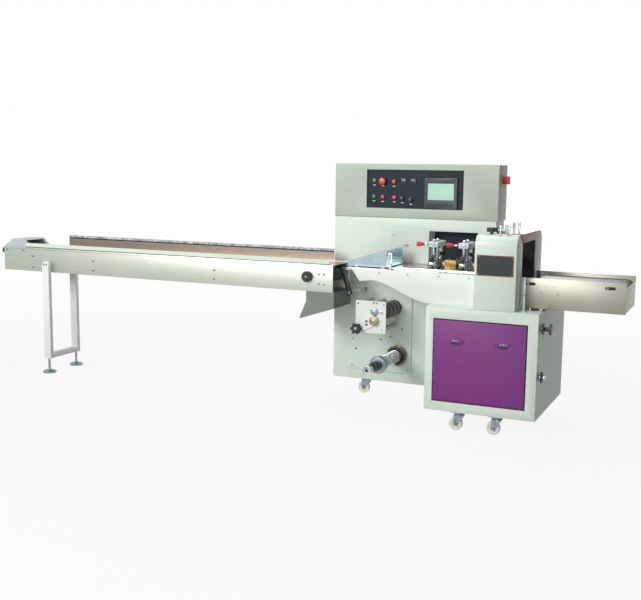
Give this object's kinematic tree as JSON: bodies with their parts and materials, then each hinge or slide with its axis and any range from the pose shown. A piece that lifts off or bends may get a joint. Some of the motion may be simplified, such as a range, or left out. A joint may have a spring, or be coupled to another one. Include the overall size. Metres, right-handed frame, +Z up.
{
  "type": "horizontal flow wrapper",
  "caption": "Horizontal flow wrapper: long infeed conveyor, film unit, former and fin-seal table, end-seal housing, discharge belt and a tall electrical column.",
  "frame": {"origin": "centre of the bounding box at floor level", "axes": "+X along the line from infeed to discharge, +Y from the operator side to the back, +Z up"},
  "size_m": [4.2074, 0.717, 1.45],
  "materials": {
    "belt_rubber": "black conveyor belt",
    "black_plastic": "moulded black",
    "body_paint": "satin powder coat, pale grey-green",
    "brass": "machined brass",
    "button_plastic": "moulded buttons",
    "caster_nylon": "cream nylon",
    "chain_steel": "oiled dark steel",
    "chrome": "polished chrome",
    "clear_guard": "pale smooth sheet",
    "door_purple": "satin purple powder coat",
    "former_steel": "polished stainless sheet",
    "grey_sheet": "painted sheet, blue-grey",
    "guard_red": "gloss crimson paint",
    "jaw_steel": "dark machined steel",
    "panel_navy": "fine-textured dark navy",
    "plate_grey": "dark grey plate",
    "roller_rubber": "dark rubber with a maroon band",
    "stainless": "brushed stainless steel",
    "switch_red": "moulded red grip",
    "switch_yellow": "moulded yellow plate",
    "white_paint": "smooth white paint",
    "zinc": "bright zinc plate"
  },
  "bodies": {
    "frame": {"cabinet_front": "body_paint", "cabinet_panels": "body_paint", "caster_forks": "zinc", "column_guard": "clear_guard", "control_box": "body_paint", "control_panel": "panel_navy", "conveyor_rollers": "black_plastic", "crumb_chute": "grey_sheet", "discharge_belt": "belt_rubber", "discharge_posts": "chrome", "discharge_sides": "stainless", "film_guide_arm": "chain_steel", "film_plate": "body_paint", "film_rails": "stainless", "former": "former_steel", "heater_block": "brass", "infeed_arm": "body_paint", "infeed_bed": "stainless", "infeed_chain": "chain_steel", "infeed_guides": "stainless", "infeed_sides": "stainless", "leg_stand": "stainless", "levelling_feet": "zinc", "main_switch_plate": "switch_yellow", "name_plate": "plate_grey", "panel_controls": "button_plastic", "rear_body": "body_paint", "reel_hub": "black_plastic", "roller_plate": "white_paint", "seal_guard": "guard_red", "seal_jaws": "jaw_steel", "seal_posts": "chrome", "seal_shell_front": "body_paint", "seal_shell_rear": "body_paint", "seal_units": "chrome", "seal_wheels": "chrome", "table_fascia": "white_paint", "tail_cover": "grey_sheet", "tie_rods": "chrome", "touch_screen": "panel_navy", "work_table": "stainless"},
    "door": {"cabinet_door": "door_purple", "door_latches": "black_plastic"},
    "switch_handle": {"main_switch_handle": "switch_red"},
    "tail_knob": {"tail_knob": "black_plastic"},
    "handwheel": {"infeed_handwheel": "black_plastic"},
    "feed_roller": {"feed_roller": "roller_rubber"},
    "guide_roller": {"guide_roller": "chrome"},
    "star_knob": {"film_star_knob": "black_plastic"},
    "reel_shaft": {"reel_shaft": "chrome"},
    "shell_knob": {"shell_knob": "black_plastic"},
    "side_knob_upper": {"side_knob_upper": "black_plastic"},
    "side_knob_lower": {"side_knob_lower": "black_plastic"},
    "caster_wheel_1": {"caster_wheel_1": "caster_nylon"},
    "caster_wheel_2": {"caster_wheel_2": "caster_nylon"},
    "caster_wheel_3": {"caster_wheel_3": "caster_nylon"},
    "caster_wheel_4": {"caster_wheel_4": "caster_nylon"},
    "caster_wheel_5": {"caster_wheel_5": "caster_nylon"}
  },
  "joints": [
    {"name": "door_swing", "type": "hinge", "parent": "frame", "child": "door", "pos_m": [1.37515, -0.3465, 0.175], "axis": [1, 0, 0], "range_deg": [0, 90]},
    {"name": "switch_handle_turn", "type": "hinge", "parent": "frame", "child": "switch_handle", "pos_m": [1.32265, 0.255, 1.3615], "axis": [1, 0, 0], "range_deg": [0, 90]},
    {"name": "tail_knob_turn", "type": "hinge", "parent": "frame", "child": "tail_knob", "pos_m": [-2.06935, -0.1555, 0.826], "axis": [-1, 0, 0], "continuous": true},
    {"name": "handwheel_turn", "type": "hinge", "parent": "frame", "child": "handwheel", "pos_m": [0.27865, -0.1895, 0.782], "axis": [0, -1, 0], "continuous": true},
    {"name": "feed_roller_turn", "type": "hinge", "parent": "frame", "child": "feed_roller", "pos_m": [0.70065, 0.0465, 0.58], "axis": [0, -1, 0], "continuous": true},
    {"name": "guide_roller_turn", "type": "hinge", "parent": "frame", "child": "guide_roller", "pos_m": [0.70365, 0.0465, 0.474], "axis": [0, -1, 0], "continuous": true},
    {"name": "star_knob_turn", "type": "hinge", "parent": "frame", "child": "star_knob", "pos_m": [0.54965, -0.0615, 0.474], "axis": [0, -1, 0], "continuous": true},
    {"name": "reel_shaft_turn", "type": "hinge", "parent": "frame", "child": "reel_shaft", "pos_m": [0.72765, -0.1035, 0.286], "axis": [0, -1, 0], "continuous": true},
    {"name": "shell_knob_turn", "type": "hinge", "parent": "frame", "child": "shell_knob", "pos_m": [1.40065, -0.2695, 1.085], "axis": [0, 0, 1], "continuous": true},
    {"name": "side_knob_upper_turn", "type": "hinge", "parent": "frame", "child": "side_knob_upper", "pos_m": [1.68765, -0.3015, 0.6], "axis": [1, 0, 0], "continuous": true},
    {"name": "side_knob_lower_turn", "type": "hinge", "parent": "frame", "child": "side_knob_lower", "pos_m": [1.68765, -0.3015, 0.342], "axis": [1, 0, 0], "continuous": true},
    {"name": "caster_wheel_1_turn", "type": "hinge", "parent": "frame", "child": "caster_wheel_1", "pos_m": [1.24765, -0.3085, 0.038], "axis": [0, 1, 0], "continuous": true},
    {"name": "caster_wheel_2_turn", "type": "hinge", "parent": "frame", "child": "caster_wheel_2", "pos_m": [1.45765, -0.3085, 0.038], "axis": [0, 1, 0], "continuous": true},
    {"name": "caster_wheel_3_turn", "type": "hinge", "parent": "frame", "child": "caster_wheel_3", "pos_m": [1.24765, 0.3015, 0.038], "axis": [0, 1, 0], "continuous": true},
    {"name": "caster_wheel_4_turn", "type": "hinge", "parent": "frame", "child": "caster_wheel_4", "pos_m": [1.45765, 0.3015, 0.038], "axis": [0, 1, 0], "continuous": true},
    {"name": "caster_wheel_5_turn", "type": "hinge", "parent": "frame", "child": "caster_wheel_5", "pos_m": [0.46865, 0.2585, 0.038], "axis": [0, 1, 0], "continuous": true}
  ]
}
